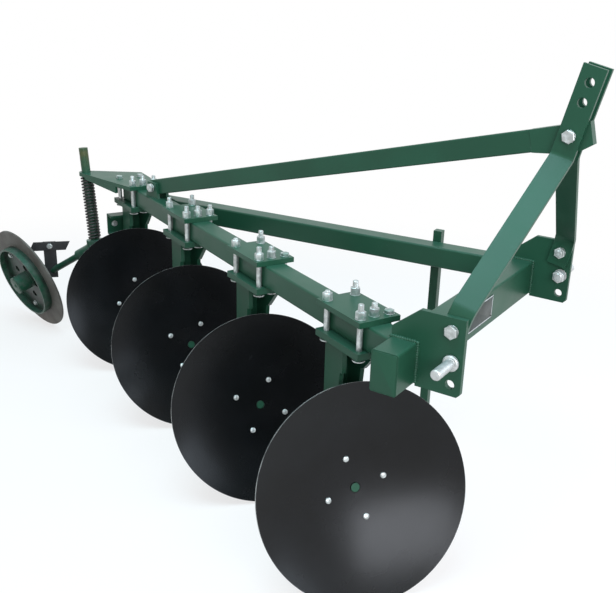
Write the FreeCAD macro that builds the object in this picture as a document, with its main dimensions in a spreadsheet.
import FreeCAD, Part
import math
import os
import re
import Sketcher

# Four-furrow mounted disc plough. Millimetres. +X is the way it is pulled, +Y is its left, +Z is up.
# The origin is the middle of its footprint, on the ground. It throws the soil to its right (-Y).

SIZES = {
    # the cross tube that the tractor pulls on, and where it stands from the origin
    "TubeCentreX": 1129.2, "HitchRightY": -345.2, "TubeTop": 762.5, "TubeDeep": 74, "TubeHigh": 112,
    "TubeStub": 100, "PlateSpan": 847,
    # hitch plates: their outline is measured from the cross tube's axis and top
    "PlateThick": 15, "PlateFront": 160, "PlateRise": 87, "PlateDrop": 118, "PlateStep": 28,
    "PlateCorner": 9, "PinHoleX": 131, "PinDown": 28, "SpareDown": 88, "SpareHole": 25,
    # lower hitch pins
    "PinDiameter": 28, "PinOut": 92, "PinCollar": 42, "CollarThick": 12, "PinNut": 36, "PinNutHigh": 24,
    "PinGap": 0.2,
    # mast: two bent flat bars, which lean forward
    "MastLean": 13.3, "BarWide": 63, "BarThick": 12, "FootX": 125, "FootUp": 52, "FootBelow": 46,
    "FootAbove": 46, "HeadStart": 388, "HeadEnd": 622, "HeadGap": 34, "StayHoleUp": 442,
    "LinkHoleLow": 530, "LinkHolePitch": 51, "LinkHole": 25.5, "MastBolt": 20, "BoltGap": 0.5,
    "MastHex": 30, "MastHeadHigh": 13, "MastNutHigh": 16, "MastBoltShow": 5,
    # top stay, its tongue in the mast head and its lug on the main beam
    "StayHigh": 60, "StayWide": 30, "StayCorner": 4, "TongueFront": 54, "TongueBack": 108, "TongueSlip": 2,
    "BellyFront": 22, "BellyBack": 43, "BellyDrop": 41,
    "LugAlong": 1645, "LugHoleUp": 42, "LugThick": 12, "LugLong": 76, "LugTopUp": 64, "LugTopLong": 50,
    "LugGap": 2, "StayEnd": 26,
    # main beam and rear brace
    "BeamAngle": 24.7, "BeamStart": 8, "BeamWide": 72, "BeamHigh": 72, "BeamStep": 5, "BeamTail": 70,
    "BraceInset": 4, "BraceMeet": 1690, "TubeCorner": 7,
    # parking stand
    "StandAlong": 286, "StandSide": 30, "StandSlip": 0.5, "SocketWall": 6, "SocketHigh": 48, "SocketDrop": 24,
    "StandAbove": 35, "FootSide": 100, "FootThick": 8,
    # disc stations along the beam
    "StationCount": 4, "FirstStation": 214, "StationPitch": 557, "ClampLong": 208, "ClampWide": 132,
    "ClampTopThick": 16, "ClampLowThick": 20, "ClampBoltAlong": 80, "ClampBoltAcross": 46,
    "ClampBolt": 18, "ClampHex": 27, "ClampNutHigh": 22, "StudAbove": 14, "ClampHeadHigh": 11,
    # disc legs
    "FirstLeg": 258, "LegPitch": 553, "LegLong": 88, "LegWide": 84, "LegWall": 14, "LegDown": 330,
    "NotchGap": 1.5, "GussetOut": 62, "GussetDown": 84, "BevelTop": 10, "BevelLow": 36, "CrankHead": 0,
    "CrankFront": 50, "CrankBack": 88, "CrankWide": 52, "CrankLap": 60,
    "BossDiameter": 96, "BossLong": 74, "SpindleDiameter": 45, "SpindleIn": 70,
    # discs: their axis, dish and hub
    "FirstDisc": 208, "DiscPitch": 565, "DiscAngle": 51.3, "DiscTilt": 20.8, "DiscDiameter": 610,
    "DiscDish": 80, "DiscThick": 6,
    "DiscHole": 30, "PoleAhead": 77, "PoleAside": 14, "PoleDown": 503, "HubNose": 26, "NoseOut": 2,
    "FlangeDiameter": 226, "FlangeThick": 14, "HubDiameter": 124, "HubLong": 84, "HubGap": 5,
    "SpindleGap": 0.6,
    # furrow wheel: plate, post, spring, crank and wheel
    "EyeAlong": 2139, "EyeAcross": 135, "EyeDiameter": 62, "WheelPlateThick": 16, "RibThick": 12,
    "NoseBack": 34, "NoseRight": 8, "CheekBack": 160, "CheekRight": 16,
    "RibHigh": 28, "RibLow": 8, "PostDiameter": 38, "PostUp": 122, "PostLean": 5.2, "PostGap": 0.5,
    "SpringDiameter": 56, "SpringWire": 9, "SpringTurns": 20, "SpringTop": 1,
    "WheelAngle": 9.5, "AxleDip": 16.6,
    "ArmBack": 329, "ArmSide": 40, "ArmDrop": 203, "ArmDiameter": 30, "SleeveDiameter": 52, "SleeveLong": 120,
    "KnuckleDiameter": 46, "KnuckleRise": 25, "CrankBoss": 76, "CrankHigh": 60, "AxleDiameter": 34,
    "AxleStub": 80,
    "WheelDiameter": 496, "RimThick": 8, "DishDiameter": 344, "DishDeep": 38, "DishThick": 8,
    "WheelHub": 82, "WheelHubOut": 70, "WheelHubIn": 30, "WheelHubWall": 34, "LightHole": 30,
    "LightRing": 148, "LightCount": 5, "LightTurn": 16,
    "ScraperLong": 162, "ScraperSlant": 21, "ScraperWide": 41, "ScraperThick": 6, "ScraperTurn": 48,
    "ScraperUp": 154, "StripWide": 56, "StripShift": 6, "StripLap": 22, "StripPlace": 0.86,
    # bracket behind the last leg
    "BracketOut": 53, "BracketDeep": 56, "BracketDown": 56, "BracketHigh": 91, "BracketWall": 10,
}

doc = FreeCAD.newDocument("DiscPlough")
sheet = doc.addObject("Spreadsheet::Sheet", "Sizes")
for row, (alias, number) in enumerate(SIZES.items(), start=1):
    sheet.set(f"A{row}", alias)
    sheet.set(f"B{row}", str(number))
    sheet.setAlias(f"B{row}", alias)
doc.recompute()

Vector = FreeCAD.Vector
Rotation = FreeCAD.Rotation
Placement = FreeCAD.Placement
AXIS_X = Vector(1, 0, 0)
AXIS_Y = Vector(0, 1, 0)
AXIS_Z = Vector(0, 0, 1)
nodes = []


# --- helpers: expressions on the sheet, sketches, primitives ---

def bound(text):
    """Write the sheet's name before each alias in an expression."""
    return re.sub(r"\b([A-Z]\w*)", r"Sizes.\1", str(text))


def value(text):
    return float(sheet.evalExpression(bound(text)))


def vector(x, y, z):
    return Vector(value(x), value(y), value(z))


def keep(part, name, placement=None):
    """Name a finished sub-part and set it in its place."""
    part.Label = name
    if placement is not None:
        part.Placement = placement
    nodes.append(part)
    return part


def new_body(name):
    return doc.addObject("PartDesign::Body", name)


def plane_of(body, role):
    return next(item for item in body.Origin.OriginFeatures if item.Role == role)


def new_sketch(body, role):
    sketch = body.newObject("Sketcher::SketchObject", body.Name + "Sketch")
    sketch.AttachmentSupport = (plane_of(body, role), [""])
    sketch.MapMode = "FlatFace"
    return sketch


def pin_point(sketch, line, end, x, y):
    """Tie one end of a line, or a centre, to two expressions."""
    for kind, text in (("DistanceX", x), ("DistanceY", y)):
        index = sketch.addConstraint(Sketcher.Constraint(kind, -1, 1, line, end, value(text)))
        sketch.setExpression(f"Constraints[{index}]", bound(text))


def draw_outline(sketch, points):
    """Draw a closed outline whose corners are pairs of expressions."""
    corners = [Vector(value(x), value(y), 0) for x, y in points]
    first = sketch.GeometryCount
    count = len(points)
    for i in range(count):
        sketch.addGeometry(Part.LineSegment(corners[i], corners[(i + 1) % count]), False)
    for i in range(count):
        sketch.addConstraint(Sketcher.Constraint("Coincident", first + i, 2, first + (i + 1) % count, 1))
    for i, (x, y) in enumerate(points):
        pin_point(sketch, first + i, 1, x, y)


def draw_circle(sketch, x, y, radius):
    circle = Part.Circle(Vector(value(x), value(y), 0), AXIS_Z, value(radius))
    index = sketch.addGeometry(circle, False)
    pin_point(sketch, index, 3, x, y)
    constraint = sketch.addConstraint(Sketcher.Constraint("Radius", index, value(radius)))
    sketch.setExpression(f"Constraints[{constraint}]", bound(radius))


def pad(body, sketch, length, midplane=False, reverse=False):
    feature = body.newObject("PartDesign::Pad", body.Name + "Pad")
    feature.Profile = sketch
    feature.setExpression("Length", bound(length))
    feature.Midplane = midplane
    feature.Reversed = reverse
    return feature


def revolve(body, sketch):
    feature = body.newObject("PartDesign::Revolution", body.Name + "Revolution")
    feature.Profile = sketch
    feature.ReferenceAxis = (sketch, ["V_Axis"])
    feature.Angle = 360
    return feature


def plate(name, role, points, length, circles=(), midplane=False, reverse=False):
    """A flat piece: an outline with round holes, padded."""
    body = new_body(name)
    sketch = new_sketch(body, role)
    draw_outline(sketch, points)
    for x, y, radius in circles:
        draw_circle(sketch, x, y, radius)
    pad(body, sketch, length, midplane, reverse)
    return body


def round_long_edges(body, radius):
    """Round the edges that run the length of a bar."""
    doc.recompute()
    edges = body.Tip.Shape.Edges
    longest = max(edge.Length for edge in edges)
    feature = body.newObject("PartDesign::Fillet", body.Name + "Fillet")
    names = [f"Edge{i}" for i, edge in enumerate(edges, start=1) if edge.Length > longest / 2]
    feature.Base = (feature.BaseFeature, names)
    feature.setExpression("Radius", bound(radius))


def turned(name, points):
    """A turned piece about its own Z: the outline's first value is the radius."""
    body = new_body(name)
    sketch = new_sketch(body, "XZ_Plane")
    draw_outline(sketch, points)
    revolve(body, sketch)
    return body


def rectangle(x0, x1, y0, y1):
    return [(x0, y0), (x1, y0), (x1, y1), (x0, y1)]


def cylinder(name, radius, height, placement):
    shape = doc.addObject("Part::Cylinder", name)
    shape.setExpression("Radius", bound(radius))
    shape.setExpression("Height", bound(height))
    shape.Placement = placement
    return shape


def hexagon(name, across, height, placement):
    """A hexagonal nut or head, sized by its distance across the flats."""
    shape = doc.addObject("Part::Prism", name)
    shape.Polygon = 6
    shape.setExpression("Circumradius", bound(f"({across})/2/cos(30)"))
    shape.setExpression("Height", bound(height))
    shape.Placement = placement
    return shape


def block(name, long, wide, high, placement):
    shape = doc.addObject("Part::Box", name)
    shape.setExpression("Length", bound(long))
    shape.setExpression("Width", bound(wide))
    shape.setExpression("Height", bound(high))
    shape.Placement = placement
    return shape


def fuse(name, shapes):
    joined = doc.addObject("Part::MultiFuse", name)
    joined.Shapes = shapes
    return joined


def cut(name, base, tool):
    left = doc.addObject("Part::Cut", name)
    left.Base = base
    left.Tool = tool
    return left


def group(name, shapes):
    """Like pieces that do not touch, kept as one sub-part of separate solids."""
    compound = doc.addObject("Part::Compound", name)
    compound.Links = shapes
    return compound


def at(x, y, z, rotation=Rotation()):
    return Placement(vector(x, y, z), rotation)


def aimed(turn, rise):
    """Turn Z to point forward-right by 'turn' from -Y, and up by 'rise'."""
    return Rotation(AXIS_Z, turn).multiply(Rotation(AXIS_X, 90 - rise))


# frames that the pieces are drawn in
HITCH = at("TubeCentreX", "HitchRightY", "TubeTop")
BEAM_TURN = Rotation(AXIS_Z, 180 - value("BeamAngle"))
BEAM = HITCH.multiply(Placement(vector(0, "BeamStart", "-BeamStep"), BEAM_TURN))
TO_LEFT = Rotation(AXIS_X, -90)
TO_RIGHT = Rotation(AXIS_X, 90)


# --- hitch: cross tube, plates and lower pins ---

tube = plate("CrossTube", "XZ_Plane", rectangle("-TubeDeep/2", "TubeDeep/2", "-TubeHigh", 0),
             "PlateSpan+2*TubeStub", reverse=True)
round_long_edges(tube, "TubeCorner")
keep(tube, "cross_tube", HITCH.multiply(at(0, "-TubeStub", 0)))

PLATE_OUTLINE = [("-TubeDeep/2", 0), ("TubeDeep/2", 0), ("TubeDeep/2", "-PlateDrop"),
                 ("PlateFront-PlateCorner", "-PlateDrop"), ("PlateFront", "-PlateDrop+PlateCorner"),
                 ("PlateFront", "PlateRise"), ("TubeDeep/2", "PlateRise"), ("-TubeDeep/2", "PlateStep")]
PLATE_HOLES = [("FootX", "FootUp", "MastBolt/2+BoltGap"), ("PinHoleX", "-PinDown", "PinDiameter/2+PinGap"),
               ("PinHoleX", "-SpareDown", "SpareHole/2")]


def hitch_side(side, outer, outward):
    """One hitch plate with its lower pin; 'outward' is -1 at the right, 1 at the left."""
    body = plate("HitchPlate" + side, "XZ_Plane", PLATE_OUTLINE, "PlateThick", PLATE_HOLES,
                 reverse=outward < 0)
    keep(body, "hitch_plate_" + side.lower(), HITCH.multiply(at(0, outer, 0)))
    turn = TO_LEFT if outward > 0 else TO_RIGHT
    pin = turned("HitchPin" + side, [
        (0, "-PlateThick-PinNutHigh-CollarThick/2"),
        ("PinDiameter/2", "-PlateThick-PinNutHigh-CollarThick/2"),
        ("PinDiameter/2", 0), ("PinCollar/2", 0), ("PinCollar/2", "CollarThick"),
        ("PinDiameter/2", "CollarThick"), ("PinDiameter/2", "PinOut-CollarThick/4"),
        ("PinDiameter/2-CollarThick/4", "PinOut"), (0, "PinOut")])
    nut = hexagon("PinNut" + side, "PinNut", "PinNutHigh", at(0, 0, "-PlateThick-PinNutHigh"))
    whole = fuse("PinWhole" + side, [pin, nut])
    keep(whole, "hitch_pin_" + side.lower(), HITCH.multiply(at("PinHoleX", outer, "-PinDown", turn)))


hitch_side("Right", "0", -1)
hitch_side("Left", "PlateSpan", 1)


# --- mast: bent bars, bolts, tongue, stay and lug ---

HEAD_INNER = "(PlateSpan/2-HeadGap/2)"
FOOT_OUTER = "PlateThick"
lean = Rotation(AXIS_Y, value("MastLean"))
MAST = HITCH.multiply(at("FootX", 0, "FootUp", lean))
BEND = "atan((PlateSpan/2-HeadGap/2-PlateThick-BarThick)/(HeadStart-FootAbove))"
BEND_SHIFT = f"(BarThick*tan({BEND}/2))"


def mast_leg(side, start, sign):
    """One bent bar drawn in the plane that its faces stand on, then padded to its width."""
    def across(text):
        return f"{start}{sign}({text})"
    body = new_body("MastLeg" + side)
    sketch = new_sketch(body, "YZ_Plane")
    foot, head = FOOT_OUTER, HEAD_INNER
    draw_outline(sketch, [
        (across(foot), "-FootBelow"), (across(f"{foot}+BarThick"), "-FootBelow"),
        (across(f"{foot}+BarThick"), f"FootAbove-{BEND_SHIFT}"), (across(head), f"HeadStart-{BEND_SHIFT}"),
        (across(head), "HeadEnd"), (across(f"{head}-BarThick"), "HeadEnd"),
        (across(f"{head}-BarThick"), "HeadStart"), (across(foot), "FootAbove")])
    pad(body, sketch, "BarWide", midplane=True)
    doc.recompute()
    holes = new_sketch(body, "XZ_Plane")
    draw_circle(holes, 0, 0, "MastBolt/2+BoltGap")
    draw_circle(holes, 0, "StayHoleUp", "MastBolt/2+BoltGap")
    draw_circle(holes, 0, "LinkHoleLow", "LinkHole/2")
    draw_circle(holes, 0, "LinkHoleLow+LinkHolePitch", "LinkHole/2")
    pocket = body.newObject("PartDesign::Pocket", body.Name + "Holes")
    pocket.Profile = holes
    pocket.Type = "ThroughAll"
    pocket.Midplane = True
    keep(body, "mast_leg_" + side.lower(), MAST)


mast_leg("Right", "0", "+")
mast_leg("Left", "PlateSpan", "-")


def through_bolt(name, length, placement):
    """A bolt along Z with its head below zero and its nut on 'length'."""
    shank = cylinder(name + "Shank", "MastBolt/2", f"{length}+MastNutHigh+MastBoltShow", at(0, 0, 0))
    head = hexagon(name + "Head", "MastHex", "MastHeadHigh", at(0, 0, "-MastHeadHigh"))
    nut = hexagon(name + "Nut", "MastHex", "MastNutHigh", at(0, 0, length))
    whole = fuse(name, [shank, head, nut])
    whole.Placement = placement
    return whole


foot_right = through_bolt("FootBoltRight", "PlateThick+BarThick", MAST.multiply(at(0, 0, 0, TO_LEFT)))
foot_left = through_bolt("FootBoltLeft", "PlateThick+BarThick",
                         MAST.multiply(at(0, "PlateSpan", 0, TO_RIGHT)))
keep(group("FootBolts", [foot_right, foot_left]), "mast_foot_bolts")
stay_bolt = through_bolt("StayBolt", "HeadGap+2*BarThick",
                         MAST.multiply(at(0, f"{HEAD_INNER}-BarThick", "StayHoleUp", TO_LEFT)))
keep(stay_bolt, "mast_head_bolt")

# the stay runs from the bolt in the mast head to the lug on the beam
head_point = MAST.multVec(vector(0, "PlateSpan/2", "StayHoleUp"))
lug_point = BEAM.multVec(vector("LugAlong", 0, "LugHoleUp"))
run = lug_point.sub(head_point)
level_run = math.hypot(run.x, run.y)
stay_slope = math.degrees(math.atan2(-run.z, level_run))

# the tongue stands in the mast head, straight fore and aft, and slopes as the stay does
tongue = plate("StayTongue", "XZ_Plane", [
    ("TongueFront", "StayHigh/2"), ("-TongueBack", "StayHigh/2"), ("-TongueBack", "-StayHigh/2"),
    ("-BellyBack", "-BellyDrop"), ("BellyFront", "-BellyDrop"), ("TongueFront", "-StayHigh/2")],
    "HeadGap-TongueSlip", [(0, 0, "MastBolt/2+BoltGap")], midplane=True)
keep(tongue, "stay_tongue", Placement(head_point, Rotation(AXIS_Y, -stay_slope)))

stay_start = tongue.Placement.multVec(vector("-TongueBack", 0, 0))
stay_run = lug_point.sub(stay_start)
stay_turn = math.degrees(math.atan2(stay_run.y, stay_run.x))
stay_dip = math.degrees(math.asin(-stay_run.z / stay_run.Length))
STAY = Placement(lug_point, Rotation(AXIS_Z, stay_turn + 180).multiply(Rotation(AXIS_Y, -stay_dip)))
# drawn from the lug's hole forward, then cut square on the tongue's back face
stay_bar = plate("StayBar", "XZ_Plane",
                 rectangle("-StayEnd", f"{stay_run.Length}+StayWide", "-StayHigh/2", "StayHigh/2"),
                 "StayWide", [(0, 0, "MastBolt/2+BoltGap")], midplane=True)
round_long_edges(stay_bar, "StayCorner")
stay_bar.Placement = STAY
trim = block("StayTrim", "TongueFront+TongueBack", "2*StayHigh", "2*StayHigh", tongue.Placement.multiply(
    at("-TongueBack", "-StayHigh", "-StayHigh")))
keep(cut("TopStay", stay_bar, trim), "top_stay")

# the lug is two plates that stand on the beam, one each side of the stay's end
LUG = Placement(lug_point, Rotation(AXIS_Z, stay_turn + 180))
lug_plates = []
for side, start in (("Near", "StayWide/2+LugGap/2"), ("Far", "-StayWide/2-LugGap/2-LugThick")):
    lug_plate = plate("Lug" + side, "XZ_Plane", [
        ("-LugLong/2", "-LugHoleUp"), ("LugLong/2", "-LugHoleUp"), ("LugTopLong/2", "LugTopUp-LugHoleUp"),
        ("-LugTopLong/2", "LugTopUp-LugHoleUp")], "LugThick", [(0, 0, "MastBolt/2+BoltGap")], reverse=True)
    lug_plate.Placement = LUG.multiply(at(0, start, 0))
    lug_plates.append(lug_plate)
keep(group("StayLug", lug_plates), "stay_lug")
lug_bolt = through_bolt("LugBolt", "StayWide+LugGap+2*LugThick",
                        LUG.multiply(at(0, "-(StayWide/2+LugGap/2+LugThick)", 0, TO_LEFT)))
keep(lug_bolt, "stay_lug_bolt")


# --- frame: main beam, rear brace and parking stand ---

BEAM_FRONT = "(TubeDeep/2-({})*sin(BeamAngle))/cos(BeamAngle)"
BEAM_LONG = "(FirstStation+(StationCount-1)*StationPitch+BeamTail)"
beam = plate("MainBeam", "XY_Plane", [
    (BEAM_FRONT.format("BeamWide/2"), "BeamWide/2"), (BEAM_LONG, "BeamWide/2"),
    (BEAM_LONG, "-BeamWide/2"), (BEAM_FRONT.format("-BeamWide/2"), "-BeamWide/2")], "BeamHigh", reverse=True)
round_long_edges(beam, "TubeCorner")
keep(beam, "main_beam", BEAM)

# the brace runs from behind the left hitch plate to where its middle line meets the beam's
BRACE_Y = "(PlateSpan-BraceInset)"
BRACE_DX = "(BraceMeet*cos(BeamAngle)-TubeDeep/2)"
BRACE_DY = f"({BRACE_Y}-BeamStart-BraceMeet*sin(BeamAngle))"
BRACE_ANGLE = f"(atan({BRACE_DY}/{BRACE_DX})/1deg)"
BRACE_LONG = f"({BRACE_DX}/cos({BRACE_ANGLE})-BeamWide/2/sin(BeamAngle+{BRACE_ANGLE}))"
BRACE = HITCH.multiply(at("-TubeDeep/2", BRACE_Y, "-BeamStep",
                          Rotation(AXIS_Z, 180 + value(BRACE_ANGLE))))
BRACE_SKEW = f"BeamWide/2/tan(BeamAngle+{BRACE_ANGLE})"
brace = plate("RearBrace", "XY_Plane", [
    (f"-BeamWide/2*tan({BRACE_ANGLE})", "-BeamWide/2"), (f"BeamWide/2*tan({BRACE_ANGLE})", "BeamWide/2"),
    (f"{BRACE_LONG}-{BRACE_SKEW}", "BeamWide/2"), (f"{BRACE_LONG}+{BRACE_SKEW}", "-BeamWide/2")],
    "BeamHigh", reverse=True)
round_long_edges(brace, "TubeCorner")
keep(brace, "rear_brace", BRACE)

SOCKET_OUT = "(StandSide/2+StandSlip+SocketWall)"
STAND = BRACE.multiply(at("StandAlong", f"-BeamWide/2-{SOCKET_OUT}", 0))
sleeve = block("SocketSleeve", f"2*{SOCKET_OUT}", f"2*{SOCKET_OUT}", "SocketHigh",
               at(f"-{SOCKET_OUT}", f"-{SOCKET_OUT}", "-SocketDrop-SocketHigh"))
bore = block("SocketBore", "StandSide+2*StandSlip", "StandSide+2*StandSlip", "2*SocketHigh",
             at("-StandSide/2-StandSlip", "-StandSide/2-StandSlip", "-SocketDrop-3*SocketHigh/2"))
keep(cut("StandSocket", sleeve, bore), "stand_socket", STAND)
stand_drop = "(TubeTop-BeamStep)"
stand_bar = block("StandBar", "StandSide", "StandSide", f"{stand_drop}+StandAbove",
                  at("-StandSide/2", "-StandSide/2", f"-{stand_drop}"))
stand_foot = block("StandFoot", "FootSide", "FootSide", "FootThick",
                   at("-FootSide/2", "-FootSide/2", f"-{stand_drop}"))
keep(fuse("ParkingStand", [stand_bar, stand_foot]), "parking_stand", STAND)


# --- disc stations: clamp plates, bolts, leg, hub and disc ---

CLAMP_HOLES = [(f"{a}*ClampBoltAlong", f"{b}*ClampBoltAcross", "ClampBolt/2+BoltGap")
               for a in (-1, 1) for b in (-1, 1)]
CLAMP_OUTLINE = rectangle("-ClampLong/2", "ClampLong/2", "-ClampWide/2", "ClampWide/2")
CLAMP_STACK = "(ClampTopThick+BeamHigh+ClampLowThick)"
LOW_FACE = "(BeamHigh+ClampLowThick)"
DISC_SPHERE = "((DiscDiameter^2/4+DiscDish^2)/(2*DiscDish))"
HUB_BACK = "(DiscThick+FlangeThick+HubLong)"
BOSS_FRONT = f"({HUB_BACK}+HubGap)"
HEAD_HALF = "(ClampHex/2/cos(30)+NotchGap)"
HEAD_ROOM = "(ClampHeadHigh+NotchGap)"
NOTCH_Y = (f"ClampBoltAcross-{HEAD_HALF}", f"-ClampBoltAcross+{HEAD_HALF}-LegWide")


def clamp_bolts(k, station):
    bolts = []
    for i, (x, y, _) in enumerate(CLAMP_HOLES):
        name = f"Clamp{k}Bolt{i}"
        shank = cylinder(name + "Shank", "ClampBolt/2", f"{CLAMP_STACK}+ClampNutHigh+StudAbove", at(0, 0, 0))
        head = hexagon(name + "Head", "ClampHex", "ClampHeadHigh", at(0, 0, "-ClampHeadHigh"))
        nut = hexagon(name + "Nut", "ClampHex", "ClampNutHigh", at(0, 0, CLAMP_STACK))
        bolt = fuse(name, [shank, head, nut])
        bolt.Placement = station.multiply(at(x, y, f"-{LOW_FACE}"))
        bolts.append(bolt)
    keep(group(f"Clamp{k}Bolts", bolts), f"clamp_bolts_{k}")


def disc_leg(k, station, leg, axle, crank_frame):
    """A channel that opens forward, a crank behind the hub, and the boss that holds the spindle."""
    half, wall, web = "LegWide/2", "LegWall", "LegLong/2-LegWall"
    column = plate(f"Leg{k}Column", "XY_Plane", [
        ("-LegLong/2", f"-{half}"), ("LegLong/2", f"-{half}"), ("LegLong/2", half), ("-LegLong/2", half),
        ("-LegLong/2", f"{half}-{wall}"), (web, f"{half}-{wall}"), (web, f"-{half}+{wall}"),
        ("-LegLong/2", f"-{half}+{wall}")], "LegDown", reverse=True)
    # the rear corners of its top are notched round the heads of the rear bolts
    rear_bolts = leg.inverse().multiply(station).multVec(vector("ClampBoltAlong", 0, 0)).x
    notches = [block(f"Leg{k}Notch{i}", "LegLong", "LegWide", f"2*{HEAD_ROOM}",
                     at(f"{rear_bolts}-{HEAD_HALF}", start, f"-{HEAD_ROOM}"))
               for i, start in enumerate(NOTCH_Y)]
    # its open side is bevelled back below the gusset, clear of the disc and the hub's flange
    bevel = plate(f"Leg{k}Bevel", "XZ_Plane", [
        ("-LegLong", "-GussetDown"), ("-LegLong/2+BevelTop", "-GussetDown"),
        ("-LegLong/2+BevelLow", "-LegDown"), ("-LegLong", "-LegDown")], "2*LegWide", midplane=True)
    column = cut(f"Leg{k}Notched", column, fuse(f"Leg{k}Notches", [*notches, bevel]))
    column.Placement = leg
    # the left wall widens forward under the heads of the front bolts
    gusset = plate(f"Leg{k}Gusset", "XZ_Plane", [
        ("-LegLong/2-GussetOut", f"-{HEAD_ROOM}"), ("-LegLong/2+LegWall", f"-{HEAD_ROOM}"),
        ("-LegLong/2+LegWall", "-GussetDown"), ("-LegLong/2", "-GussetDown")], "LegWall", reverse=True)
    gusset.Placement = leg.multiply(at(0, f"-{half}", 0))
    # the crank's head reaches forward into the column, above the hub
    bottom = f"-(BeamStep+{LOW_FACE}+LegDown)"
    top = f"{bottom}+CrankLap"
    lower = "-PoleDown-({}+PoleAhead)*tan(DiscTilt)"
    crank = plate(f"Leg{k}Crank", "XZ_Plane", [
        ("CrankHead", top), ("CrankHead", bottom), ("CrankFront", bottom),
        ("CrankFront", lower.format("CrankFront")), ("CrankBack", lower.format("CrankBack")),
        ("CrankBack", top)], "CrankWide", midplane=True)
    crank.Placement = crank_frame
    boss = cylinder(f"Leg{k}Boss", "BossDiameter/2", "BossLong",
                    axle.multiply(at(0, 0, f"-{BOSS_FRONT}-BossLong")))
    spindle = cylinder(f"Leg{k}Spindle", "SpindleDiameter/2", "SpindleIn+BossLong/2",
                       axle.multiply(at(0, 0, f"-{BOSS_FRONT}-BossLong/2")))
    keep(fuse(f"Leg{k}", [column, gusset, crank, boss, spindle]), f"disc_leg_{k}")


def disc_hub(k, axle):
    """The turning hub: its flange has the disc's own curve, and its nose shows through the disc."""
    bore = "SpindleDiameter/2+SpindleGap"
    barrel = turned(f"Hub{k}Barrel", [
        (0, "NoseOut"), ("HubNose/2", "NoseOut"), ("HubNose/2", "-DiscThick-FlangeThick/2"),
        ("HubDiameter/2", "-DiscThick-FlangeThick/2"), ("HubDiameter/2", f"-{HUB_BACK}"),
        (bore, f"-{HUB_BACK}"), (bore, f"-{HUB_BACK}+SpindleIn"), (0, f"-{HUB_BACK}+SpindleIn")])
    flange = cylinder(f"Hub{k}FlangeBlank", "FlangeDiameter/2", "2*FlangeThick",
                      at(0, 0, "-DiscThick-FlangeThick"))
    hollow = cylinder(f"Hub{k}FlangeHole", "HubNose/2", "4*FlangeThick", at(0, 0, "-DiscThick-2*FlangeThick"))
    ball = doc.addObject("Part::Sphere", f"Hub{k}Ball")
    ball.setExpression("Radius", bound(f"{DISC_SPHERE}+DiscThick"))
    ball.Placement = at(0, 0, DISC_SPHERE)
    seat = cut(f"Hub{k}Seat", cut(f"Hub{k}Flange", flange, hollow), ball)
    keep(fuse(f"Hub{k}", [barrel, seat]), f"disc_hub_{k}", axle)


def disc(k, axle):
    outer = doc.addObject("Part::Sphere", f"Disc{k}Outer")
    outer.setExpression("Radius", bound(f"{DISC_SPHERE}+DiscThick"))
    outer.Placement = at(0, 0, DISC_SPHERE)
    inner = doc.addObject("Part::Sphere", f"Disc{k}Inner")
    inner.setExpression("Radius", bound(DISC_SPHERE))
    inner.Placement = at(0, 0, DISC_SPHERE)
    edge = cylinder(f"Disc{k}Edge", "DiscDiameter/2", "2*DiscThick+DiscDish", at(0, 0, "-1.5*DiscThick"))
    hole = cylinder(f"Disc{k}Hole", "DiscHole/2", "4*DiscThick", at(0, 0, "-2*DiscThick"))
    blade = doc.addObject("Part::Common", f"Disc{k}Blade")
    blade.Base = cut(f"Disc{k}Shell", outer, inner)
    blade.Tool = edge
    keep(cut(f"Disc{k}", blade, hole), f"disc_{k}", axle)


for k in range(1, int(value("StationCount")) + 1):
    station = BEAM.multiply(at(f"FirstStation+{k - 1}*StationPitch", 0, 0))
    leg = BEAM.multiply(at(f"FirstLeg+{k - 1}*LegPitch", 0, f"-{LOW_FACE}"))
    foot = BEAM.multVec(vector(f"FirstDisc+{k - 1}*DiscPitch", 0, "BeamStep"))
    disc_frame = Placement(foot, Rotation(AXIS_Z, 90 + value("DiscAngle")))
    crank_frame = disc_frame.multiply(at(0, "PoleAside/2", 0))
    pole = disc_frame.multVec(vector("-PoleAhead", "PoleAside", "-PoleDown"))
    axle = Placement(pole, aimed(value("DiscAngle"), value("DiscTilt")))
    if k < value("StationCount"):
        top_plate = plate(f"ClampTop{k}", "XY_Plane", CLAMP_OUTLINE, "ClampTopThick", CLAMP_HOLES)
        keep(top_plate, f"clamp_top_{k}", station)
    low_plate = plate(f"ClampLow{k}", "XY_Plane", CLAMP_OUTLINE, "ClampLowThick", CLAMP_HOLES, reverse=True)
    keep(low_plate, f"clamp_low_{k}", station.multiply(at(0, 0, "-BeamHigh")))
    clamp_bolts(k, station)
    disc_leg(k, station, leg, axle, crank_frame)
    disc_hub(k, axle)
    disc(k, axle)


# --- furrow wheel: plate with an eye, post, spring, crank and wheel ---

# the last station's top plate reaches back to the eye that carries the wheel's post
LAST = f"FirstStation+{value('StationCount') - 1:.0f}*StationPitch"
FRONT_EDGE = f"({LAST}-ClampLong/2)"
plate_body = plate("WheelPlateFlat", "XY_Plane", [
    (FRONT_EDGE, "ClampWide/2"), (FRONT_EDGE, "-ClampBoltAcross"),
    (f"{FRONT_EDGE}+NoseBack", "-ClampWide/2-NoseRight"), (f"{LAST}+CheekBack", "-ClampWide/2-CheekRight"),
    ("EyeAlong+EyeDiameter/2*cos(BeamAngle)", "EyeAcross-EyeDiameter/2*sin(BeamAngle)"),
    ("EyeAlong-EyeDiameter/2*sin(BeamAngle)", "EyeAcross+EyeDiameter/2*cos(BeamAngle)")],
    "WheelPlateThick", [(f"{LAST}+({x})", y, r) for x, y, r in CLAMP_HOLES])
eye = cylinder("WheelEye", "EyeDiameter/2", "WheelPlateThick", at("EyeAlong", "EyeAcross", 0))
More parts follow.
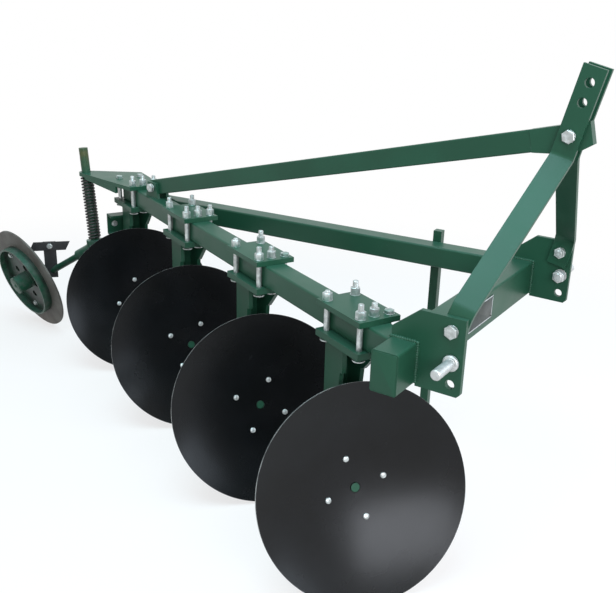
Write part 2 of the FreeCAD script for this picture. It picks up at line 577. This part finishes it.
# the post leans back at its top
eye_point = BEAM.multVec(vector("EyeAlong", "EyeAcross", 0))
POST_LEAN = Rotation(AXIS_Y, -value("PostLean"))
EYE = Placement(eye_point, POST_LEAN)
eye_hole = cylinder("WheelEyeHole", "PostDiameter/2+PostGap", "6*WheelPlateThick",
                    BEAM.inverse().multiply(EYE).multiply(at(0, 0, "-3*WheelPlateThick")))
wheel_plate = cut("WheelPlate", fuse("WheelPlateWhole", [plate_body, eye]), eye_hole)
keep(wheel_plate, "wheel_plate", BEAM)

edge_front = vector(FRONT_EDGE, "ClampWide/2", 0)
edge_back = vector("EyeAlong-EyeDiameter/2*sin(BeamAngle)", "EyeAcross+EyeDiameter/2*cos(BeamAngle)", 0)
edge = edge_back.sub(edge_front)
rib = plate("WheelRib", "XZ_Plane", [
    ("ClampLong/2", 0), (f"{edge.Length}-EyeDiameter/2", 0), (f"{edge.Length}-EyeDiameter/2", "-RibLow"),
    ("ClampLong/2", "-RibHigh")], "RibThick")
keep(rib, "wheel_plate_rib", BEAM.multiply(
    Placement(edge_front, Rotation(AXIS_Z, math.degrees(math.atan2(edge.y, edge.x))))))

# the post's length brings the wheel's lowest edge to the ground
BOSS_UP = "(WheelDiameter/2*cos(AxleDip)+AxleStub*sin(AxleDip)-KnuckleRise+ArmDrop)"
POST_DOWN = f"((TubeTop-BeamStep-{BOSS_UP})/cos(PostLean))"
POST = EYE.multiply(at(0, 0, f"-{POST_DOWN}"))
post = cylinder("WheelPost", "PostDiameter/2", f"{POST_DOWN}+PostUp+CrankHigh/2", Placement())
keep(post, "wheel_post", POST.multiply(at(0, 0, "-CrankHigh/2")))

SPRING_LONG = f"({POST_DOWN}-CrankHigh/2-EyeDiameter/2*sin(PostLean)-SpringTop)"
spring = new_body("PostSpring")
spring_sketch = new_sketch(spring, "XZ_Plane")
turns = int(value("SpringTurns"))
spring_outline = [("PostDiameter/2+PostGap", 0)]
for turn in range(turns):
    step = f"{SPRING_LONG}/{turns}"
    spring_outline.append(("SpringDiameter/2-SpringWire/3", f"{turn}*{step}"))
    spring_outline.append(("SpringDiameter/2", f"({turn}+1/4)*{step}"))
    spring_outline.append(("SpringDiameter/2", f"({turn}+3/4)*{step}"))
spring_outline.append(("SpringDiameter/2-SpringWire/3", SPRING_LONG))
spring_outline.append(("PostDiameter/2+PostGap", SPRING_LONG))
draw_outline(spring_sketch, spring_outline)
revolve(spring, spring_sketch)
keep(spring, "post_spring", POST.multiply(at(0, 0, "CrankHigh/2")))

boss = cylinder("CrankBoss", "CrankBoss/2", "CrankHigh", at(0, 0, "-CrankHigh/2"))
boss_bore = cylinder("CrankBore", "PostDiameter/2", "2*CrankHigh", at(0, 0, "-CrankHigh"))
for shape in (boss, boss_bore):
    shape.Placement = POST.multiply(shape.Placement)
# the arm trails back and down from the boss to a knuckle, and the axle turns out of it to the right
ARM_TURN = Rotation(AXIS_Z, vector("-ArmBack", "-ArmSide", "-ArmDrop"))
ARM_LONG = "sqrt(ArmBack^2+ArmSide^2+ArmDrop^2)"
ARM = Placement(POST.Base, ARM_TURN)
arm = cylinder("CrankArm", "ArmDiameter/2", ARM_LONG, ARM)
arm_sleeve = cylinder("CrankSleeve", "SleeveDiameter/2", "SleeveLong", ARM)
KNUCKLE = Placement(ARM.multVec(vector(0, 0, ARM_LONG)), Rotation())
knuckle = cylinder("CrankKnuckle", "KnuckleDiameter/2", "KnuckleRise+KnuckleDiameter",
                   KNUCKLE.multiply(at(0, 0, "-KnuckleDiameter/2")))
AXLE_TURN = Rotation(AXIS_Z, -value("WheelAngle") - 90).multiply(Rotation(AXIS_Y, 90 + value("AxleDip")))
AXLE = KNUCKLE.multiply(at(0, 0, "KnuckleRise", AXLE_TURN))
axle_bar = cylinder("CrankAxle", "AxleDiameter/2", "AxleStub+WheelHubWall", AXLE)
whole_crank = fuse("CrankWhole", [boss, arm_sleeve, arm, knuckle, axle_bar])
keep(cut("WheelCrank", whole_crank, boss_bore), "wheel_crank")

# scraper: a strip that stands on the arm near its end, and a level blade with slanting ends
SCRAPER = Placement(ARM.multVec(vector(0, 0, f"StripPlace*{ARM_LONG}")),
                    Rotation(AXIS_Z, value("ScraperTurn")))
STRIP_FACE = "-ArmDiameter/2-ScraperThick"
strip = block("ScraperStrip", "StripWide", "ScraperThick", "ScraperUp+StripLap",
              at("StripShift-StripWide/2", STRIP_FACE, "-StripLap"))
half, slant, low = "ScraperLong/2", "ScraperSlant/2", "ScraperUp-ScraperWide"
blade = plate("ScraperBlade", "XZ_Plane", [
    (f"StripShift-{half}-{slant}", low), (f"StripShift+{half}-{slant}", low),
    (f"StripShift+{half}+{slant}", "ScraperUp"), (f"StripShift-{half}+{slant}", "ScraperUp")], "ScraperThick")
blade.Placement = at(0, STRIP_FACE, 0)
scraper = fuse("Scraper", [strip, blade])
scraper.Placement = SCRAPER
keep(cut("WheelScraper", scraper, whole_crank), "wheel_scraper")

# wheel: a flat steel rim on a green dished hub that turns on the axle's end
WHEEL = AXLE.multiply(at(0, 0, "AxleStub"))
wheel_bore = "AxleDiameter/2+SpindleGap"
hub = turned("WheelHub", [
    (wheel_bore, "-WheelHubIn"), ("WheelHub/2", "-WheelHubIn"), ("WheelHub/2", 0), ("DishDiameter/2", 0),
    ("DishDiameter/2", "DishDeep"), ("DishDiameter/2-DishThick", "DishDeep"),
    ("DishDiameter/2-DishThick", "DishThick"), ("WheelHub/2", "DishThick"), ("WheelHub/2", "WheelHubOut"),
    (0, "WheelHubOut"), (0, "WheelHubWall+DishThick"), (wheel_bore, "WheelHubWall+DishThick")])
doc.recompute()
light = new_sketch(hub, "XY_Plane")
draw_circle(light, "LightRing/2*cos(LightTurn)", "LightRing/2*sin(LightTurn)", "LightHole/2")
light_pocket = hub.newObject("PartDesign::Pocket", "LightPocket")
light_pocket.Profile = light
light_pocket.Type = "ThroughAll"
light_pocket.Midplane = True
doc.recompute()
ring = hub.newObject("PartDesign::PolarPattern", "LightRingPattern")
ring.Originals = [light_pocket]
ring.Axis = (light, ["N_Axis"])
ring.Angle = 360
ring.setExpression("Occurrences", bound("LightCount"))
hub.Tip = ring
keep(hub, "wheel_hub", WHEEL)
rim = turned("WheelRim", [("WheelHub/2+RimThick/2", "-RimThick"), ("WheelDiameter/2", "-RimThick"),
                          ("WheelDiameter/2", 0), ("WheelHub/2+RimThick/2", 0)])
keep(rim, "wheel_rim", WHEEL)

# bracket behind the last leg: a channel that opens forward and reaches out to the right
LEG_BACK = f"FirstLeg+{value('StationCount') - 1:.0f}*LegPitch+LegLong/2"
bracket = plate("RearBracket", "XZ_Plane", [
    (0, 0), ("BracketDeep", 0), ("BracketDeep", "-BracketHigh"), (0, "-BracketHigh"),
    (0, "-BracketHigh+BracketWall"), ("BracketDeep-BracketWall", "-BracketHigh+BracketWall"),
    ("BracketDeep-BracketWall", "-BracketWall"), (0, "-BracketWall")], "LegWide+BracketOut", reverse=True)
keep(bracket, "rear_bracket", BEAM.multiply(at(LEG_BACK, "-LegWide/2", f"-{LOW_FACE}-BracketDown")))


# --- check everything, then write one file for each sub-part ---

doc.recompute()
for item in doc.Objects:
    if "Invalid" in item.State or "Error" in item.State:
        raise RuntimeError(f"{item.Label} did not compute: {item.State}")
os.makedirs("parts", exist_ok=True)
for part in nodes:
    if part.Shape.isNull() or not part.Shape.isValid():
        raise RuntimeError(f"{part.Label} has no valid shape")
for part in nodes:
    part.Shape.exportStep(f"parts/{part.Label}.step")
print(len(nodes), "sub-parts written")
